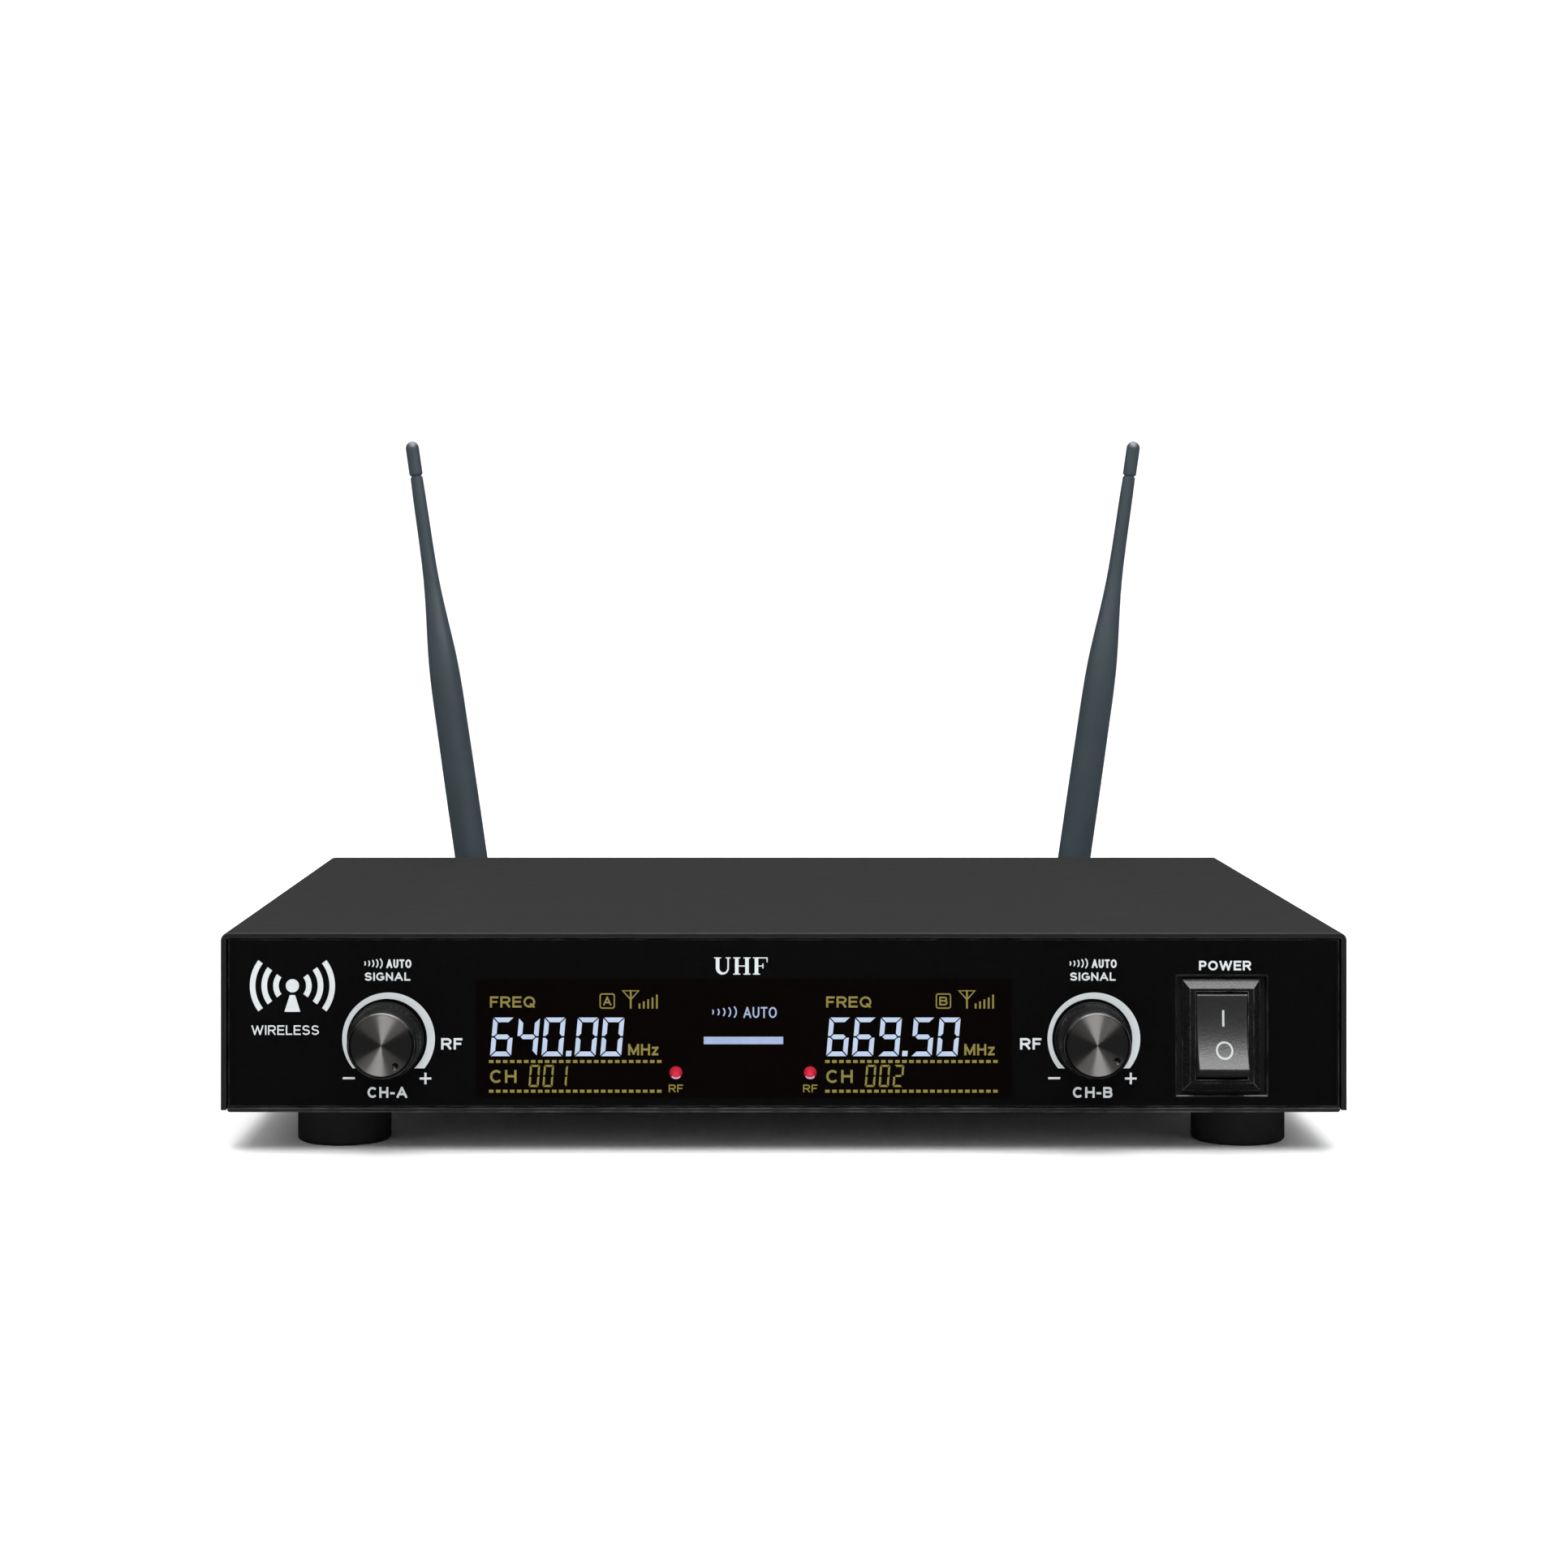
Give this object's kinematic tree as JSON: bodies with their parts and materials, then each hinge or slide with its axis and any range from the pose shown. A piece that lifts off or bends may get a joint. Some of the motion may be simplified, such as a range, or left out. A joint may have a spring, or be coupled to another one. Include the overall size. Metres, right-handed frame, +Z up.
{
  "type": "wireless microphone receiver",
  "caption": "Half-rack wireless microphone receiver: low steel cabinet on round feet, glossy front with level knobs, displays and a rocker switch, and folding whip antennas at the rear.",
  "frame": {"origin": "middle of the whole object's footprint, on the surface that the feet stand on", "axes": "+X to the right as seen from the front, +Y from the front to the rear, +Z up"},
  "size_m": [0.2142, 0.1968, 0.1419],
  "materials": {
    "cover_paint": "satin dark grey powder coat, very fine texture",
    "chassis_paint": "satin black paint on folded steel",
    "acrylic": "high-gloss black acrylic with white printing",
    "zinc_screw": "zinc-plated steel",
    "black_screw": "black oxide steel",
    "foot_rubber": "matt black rubber",
    "knob_plastic": "satin black moulded plastic, fluted",
    "knob_face": "spun aluminium, dark anodised",
    "pot_shell": "tinned steel",
    "pot_shaft": "nickel-plated steel",
    "switch_plastic": "semi-gloss black moulded plastic",
    "rocker_plastic": "finely textured black plastic",
    "terminal_brass": "bare brass",
    "lcd_glass": "polished display glass",
    "diffuser": "white light-diffusing plastic",
    "lamp_red": "clear red lamp body",
    "circuit_board": "green solder mask",
    "standoff_brass": "machined brass",
    "shield_tin": "tin plate",
    "capacitor_sleeve": "shrink sleeve",
    "heatsink_alu": "black anodised extrusion",
    "component_black": "moulded epoxy",
    "connector_cream": "moulded nylon",
    "cable_grey": "flexible vinyl",
    "nickel": "nickel plate",
    "plug_plastic": "satin black moulded plastic",
    "mast_rubber": "slate grey antenna sleeve",
    "contact_gold": "gold flash"
  },
  "bodies": {
    "receiver": {"top_cover": "cover_paint", "chassis_tray": "chassis_paint", "front_subpanel": "chassis_paint", "front_panel": "acrylic", "rear_panel": "chassis_paint", "cover_screws": "black_screw", "foot_screws": "zinc_screw", "pot_nuts": "nickel", "switch_housing": "switch_plastic", "switch_terminals": "terminal_brass", "lcd_backlights": "diffuser", "indicator_light_guide": "diffuser", "rf_leds": "lamp_red", "control_board": "circuit_board", "control_board_standoffs": "standoff_brass", "main_board": "circuit_board", "main_board_standoffs": "standoff_brass", "board_screws": "zinc_screw", "filter_capacitors": "capacitor_sleeve", "regulator_heatsink": "heatsink_alu", "voltage_regulator": "component_black", "ribbon_connectors": "connector_cream", "ribbon_cable": "cable_grey", "internal_wiring": "cable_grey", "antenna_socket_nuts": "nickel", "xlr_a_housing": "plug_plastic", "xlr_b_housing": "plug_plastic", "xlr_pins": "contact_gold", "xlr_screws": "black_screw", "mix_jack": "plug_plastic", "mix_jack_nut": "nickel", "dc_inlet": "plug_plastic", "dc_inlet_pin": "nickel", "foot_front_left": "foot_rubber", "foot_front_right": "foot_rubber", "foot_rear_left": "foot_rubber", "foot_rear_right": "foot_rubber", "pot_a_body": "pot_shell", "lcd_a_glass": "lcd_glass", "tuner_shield_a": "shield_tin", "pot_b_body": "pot_shell", "lcd_b_glass": "lcd_glass", "tuner_shield_b": "shield_tin", "antenna_left_socket": "nickel", "antenna_right_socket": "nickel"},
    "knob_a": {"knob_a": "knob_plastic", "knob_a_cap": "knob_face", "pot_a_shaft": "pot_shaft"},
    "knob_b": {"knob_b": "knob_plastic", "knob_b_cap": "knob_face", "pot_b_shaft": "pot_shaft"},
    "power_rocker": {"switch_rocker": "rocker_plastic"},
    "antenna_left_ring": {"antenna_left_coupling": "nickel"},
    "antenna_left_arm": {"antenna_left_elbow": "plug_plastic", "antenna_left_hinge_pin": "pot_shaft"},
    "antenna_left_whip": {"antenna_left_mast": "mast_rubber"},
    "antenna_right_ring": {"antenna_right_coupling": "nickel"},
    "antenna_right_arm": {"antenna_right_elbow": "plug_plastic", "antenna_right_hinge_pin": "pot_shaft"},
    "antenna_right_whip": {"antenna_right_mast": "mast_rubber"}
  },
  "joints": [
    {"name": "knob_a_turn", "type": "hinge", "parent": "receiver", "child": "knob_a", "pos_m": [-0.0748, -0.08975, 0.0218], "axis": [0, 1, 0], "range_deg": [-296, 4]},
    {"name": "knob_b_turn", "type": "hinge", "parent": "receiver", "child": "knob_b", "pos_m": [0.0581, -0.08975, 0.0218], "axis": [0, 1, 0], "range_deg": [-278, 22]},
    {"name": "power_rock", "type": "hinge", "parent": "receiver", "child": "power_rocker", "pos_m": [0.0825, -0.08765, 0.0224], "axis": [1, 0, 0], "range_deg": [0, 25]},
    {"name": "antenna_left_lock", "type": "hinge", "parent": "receiver", "child": "antenna_left_ring", "pos_m": [-0.072, 0.07025, 0.0249], "axis": [0, 1, 0], "range_deg": [0, 90]},
    {"name": "antenna_left_swivel", "type": "hinge", "parent": "receiver", "child": "antenna_left_arm", "pos_m": [-0.072, 0.07025, 0.0249], "axis": [0, 1, 0], "range_deg": [-81.8, 98.2]},
    {"name": "antenna_left_tilt", "type": "hinge", "parent": "antenna_left_arm", "child": "antenna_left_whip", "pos_m": [-0.072, 0.09425, 0.0249], "axis": [-0.9898, 0, -0.1426], "range_deg": [0, 90]},
    {"name": "antenna_right_lock", "type": "hinge", "parent": "receiver", "child": "antenna_right_ring", "pos_m": [0.072, 0.07025, 0.0249], "axis": [0, 1, 0], "range_deg": [0, 90]},
    {"name": "antenna_right_swivel", "type": "hinge", "parent": "receiver", "child": "antenna_right_arm", "pos_m": [0.072, 0.07025, 0.0249], "axis": [0, 1, 0], "range_deg": [-98.2, 81.8]},
    {"name": "antenna_right_tilt", "type": "hinge", "parent": "antenna_right_arm", "child": "antenna_right_whip", "pos_m": [0.072, 0.09425, 0.0249], "axis": [-0.9898, 0, 0.1426], "range_deg": [0, 90]}
  ]
}
